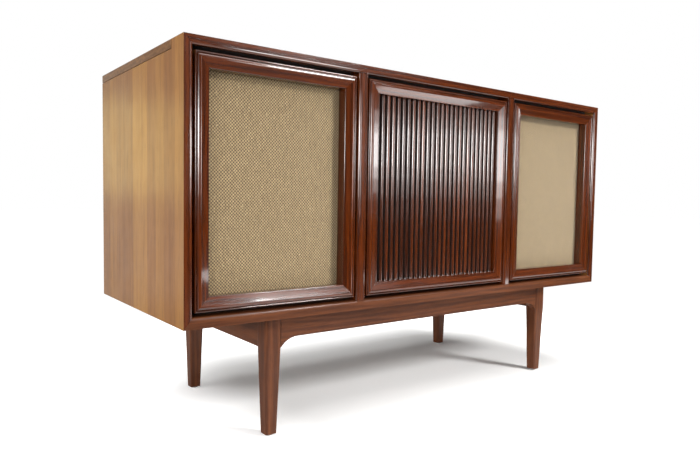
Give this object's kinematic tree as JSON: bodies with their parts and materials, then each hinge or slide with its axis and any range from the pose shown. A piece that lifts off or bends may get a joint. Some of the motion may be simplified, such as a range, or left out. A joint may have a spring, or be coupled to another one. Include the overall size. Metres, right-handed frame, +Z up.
{
  "type": "radio phonograph console",
  "caption": "Long low walnut stereo cabinet on tapered legs, with a lift-up lid over a record changer, tuner and record well, and cloth and slatted grilles.",
  "frame": {"origin": "on the floor, under the middle of the whole object's bounding box", "axes": "+X to the right as a listener faces the grilles, +Y to the back, +Z up"},
  "size_m": [1.32, 0.5244, 0.792],
  "materials": {
    "face_walnut": "gloss lacquer over red-brown walnut",
    "side_walnut": "satin lacquer over golden walnut staves",
    "leg_walnut": "satin lacquer",
    "hardboard": "raw brown hardboard",
    "plywood": "plain plywood",
    "black_board": "flat black particle board",
    "cloth": "two-tone woven speaker cloth",
    "brass": "satin",
    "steel": "plain",
    "chrome": "bright",
    "platter_metal": "satin",
    "cream_paint": "semi-gloss cream enamel",
    "cream_plastic": "moulded cream",
    "brown_paint": "satin brown enamel",
    "rubber": "matt",
    "cone_paper": "pressed paper cone",
    "knob_plastic": "dark brown with bright cap",
    "glass": "clear",
    "chassis_metal": "plain plate"
  },
  "bodies": {
    "case": {"top_front_rail": "face_walnut", "bottom_panel": "face_walnut", "left_divider": "face_walnut", "right_divider": "face_walnut", "rear_top_rail": "face_walnut", "left_grille_frame": "face_walnut", "center_grille_frame": "face_walnut", "right_grille_frame": "face_walnut", "center_louvre": "face_walnut", "deck_board": "face_walnut", "left_side_panel": "side_walnut", "right_side_panel": "side_walnut", "front_left_leg": "leg_walnut", "front_right_leg": "leg_walnut", "rear_left_leg": "leg_walnut", "rear_right_leg": "leg_walnut", "front_apron": "leg_walnut", "rear_apron": "leg_walnut", "left_apron": "leg_walnut", "right_apron": "leg_walnut", "front_left_glide": "steel", "front_right_glide": "steel", "rear_left_glide": "steel", "rear_right_glide": "steel", "changer_motor": "steel", "back_panel": "hardboard", "record_well": "plywood", "left_baffle": "black_board", "center_baffle": "black_board", "right_baffle": "black_board", "left_grille_cloth": "cloth", "right_grille_cloth": "cloth", "left_speaker": "cone_paper", "woofer": "cone_paper", "right_speaker": "cone_paper", "lid_hinge_case_leaf": "brass", "stay_bracket": "brass", "changer_plate": "cream_paint", "spindle": "chrome", "power_inlet": "rubber", "control_panel": "brown_paint", "dial_glass": "glass", "receiver_chassis": "chassis_metal"},
    "lid_body": {"lid": "face_walnut", "lid_hinge_lid_leaf": "brass", "stay_track": "brass"},
    "stay_arm_body": {"stay_arm": "brass"},
    "platter_body": {"platter": "platter_metal", "platter_mat": "rubber"},
    "tonearm_pillar_body": {"tonearm_pillar": "cream_paint"},
    "tonearm_body": {"tonearm": "cream_plastic"},
    "steady_arm_body": {"record_steady_arm": "cream_plastic"},
    "dial_pointer_body": {"dial_pointer": "brass"},
    "speed_lever_body": {"speed_lever": "knob_plastic"},
    "play_reject_lever_body": {"play_reject_lever": "knob_plastic"},
    "volume_knob_body": {"volume_knob": "knob_plastic"},
    "tone_knob_body": {"tone_knob": "knob_plastic"},
    "balance_knob_body": {"balance_knob": "knob_plastic"},
    "selector_knob_body": {"selector_knob": "knob_plastic"},
    "tuning_knob_body": {"tuning_knob": "knob_plastic"}
  },
  "joints": [
    {"name": "lid_hinge", "type": "hinge", "parent": "case", "child": "lid_body", "pos_m": [0, 0.2592, 0.7746], "axis": [-1, 0, 0], "range_deg": [0, 68]},
    {"name": "stay_pivot", "type": "hinge", "parent": "case", "child": "stay_arm_body", "pos_m": [-0.636, 0.13306, 0.74315], "axis": [-1, 0, 0], "range_deg": [0, 136]},
    {"name": "platter_spin", "type": "hinge", "parent": "case", "child": "platter_body", "pos_m": [-0.055, 0.0328, 0.69], "axis": [0, 0, 1], "continuous": true},
    {"name": "tonearm_swing", "type": "hinge", "parent": "case", "child": "tonearm_pillar_body", "pos_m": [0.13, 0.1378, 0.69], "axis": [0, 0, -1], "range_deg": [0, 48]},
    {"name": "tonearm_lift", "type": "hinge", "parent": "tonearm_pillar_body", "child": "tonearm_body", "pos_m": [0.13, 0.1378, 0.712], "axis": [-1, 0, 0], "range_deg": [0, 12]},
    {"name": "steady_arm_swing", "type": "hinge", "parent": "case", "child": "steady_arm_body", "pos_m": [-0.188, 0.1658, 0.7], "axis": [0, 0, -1], "range_deg": [0, 90]},
    {"name": "speed_select", "type": "hinge", "parent": "case", "child": "speed_lever_body", "pos_m": [0.062, -0.1002, 0.678], "axis": [0, 0, 1], "range_deg": [-30, 30]},
    {"name": "play_reject", "type": "hinge", "parent": "case", "child": "play_reject_lever_body", "pos_m": [0.104, -0.1002, 0.678], "axis": [0, 0, 1], "range_deg": [-20, 20]},
    {"name": "dial_slide", "type": "slide", "parent": "case", "child": "dial_pointer_body", "axis": [1, 0, 0], "range_m": [0, 0.276]},
    {"name": "volume_turn", "type": "hinge", "parent": "case", "child": "volume_knob_body", "pos_m": [0.31, -0.0472, 0.68], "axis": [0, 0, -1], "range_deg": [0, 290]},
    {"name": "tone_turn", "type": "hinge", "parent": "case", "child": "tone_knob_body", "pos_m": [0.376, -0.0472, 0.68], "axis": [0, 0, -1], "range_deg": [-135, 135]},
    {"name": "balance_turn", "type": "hinge", "parent": "case", "child": "balance_knob_body", "pos_m": [0.442, -0.0472, 0.68], "axis": [0, 0, -1], "range_deg": [-135, 135]},
    {"name": "selector_turn", "type": "hinge", "parent": "case", "child": "selector_knob_body", "pos_m": [0.508, -0.0472, 0.68], "axis": [0, 0, -1], "range_deg": [0, 120]},
    {"name": "tuning_turn", "type": "hinge", "parent": "case", "child": "tuning_knob_body", "pos_m": [0.574, -0.0472, 0.68], "axis": [0, 0, -1], "range_deg": [0, 1080]}
  ],
  "couplings": [
    {"joint": "stay_pivot", "follows": "lid_hinge", "ratio": 2},
    {"joint": "dial_slide", "follows": "tuning_turn", "m_per_rad": 0.014642}
  ]
}
